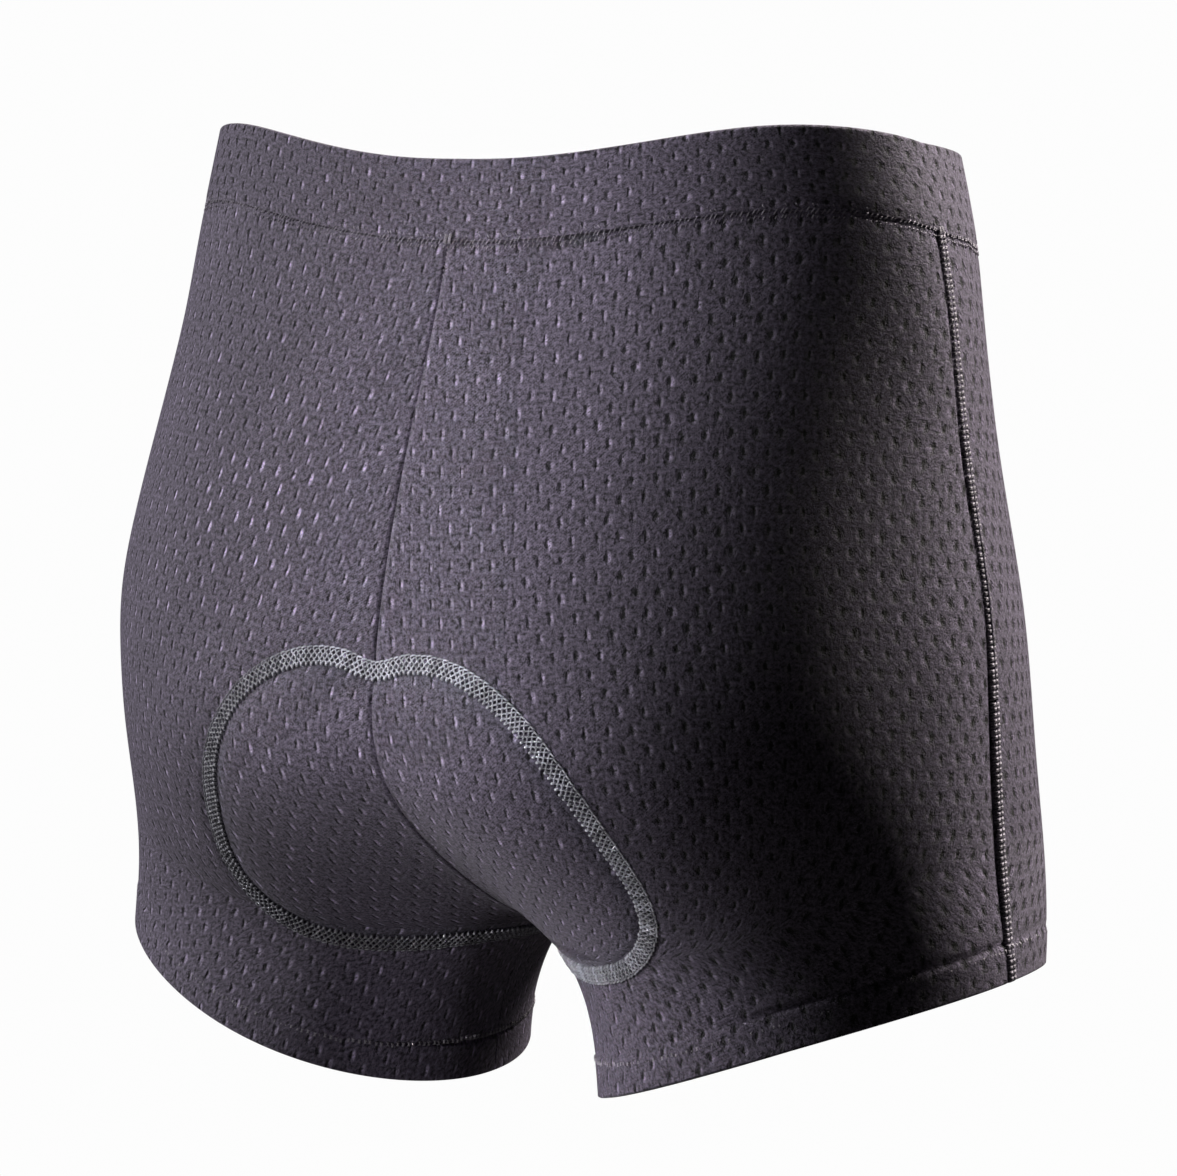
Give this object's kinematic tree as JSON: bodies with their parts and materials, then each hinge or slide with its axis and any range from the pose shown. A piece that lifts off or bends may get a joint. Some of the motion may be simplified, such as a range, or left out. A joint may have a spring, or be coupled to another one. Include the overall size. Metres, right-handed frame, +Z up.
{
  "type": "padded cycling shorts",
  "caption": "Short close-fitting cycling shorts in perforated mesh knit, hollow worn shape, wide waistband, curved back seam, sewn-in seat pad and open legs.",
  "frame": {"origin": "middle of the waist opening, level with the middle of its top edge, which dips at the middle of the front and back and rises between", "axes": "+Z up, out of the waist opening; -Y the way the wearer faces; +X the wearer's left"},
  "size_m": [0.3504, 0.2102, 0.3349],
  "materials": {
    "mesh_knit": "matt perforated polyester knit, dark grey with a little purple",
    "pad_knit": "brushed knit over soft foam"
  },
  "bodies": {
    "root": {"waistband": "mesh_knit", "back_left": "mesh_knit", "back_right": "mesh_knit", "front_left": "mesh_knit", "front_right": "mesh_knit", "pad": "pad_knit"}
  },
  "joints": []
}
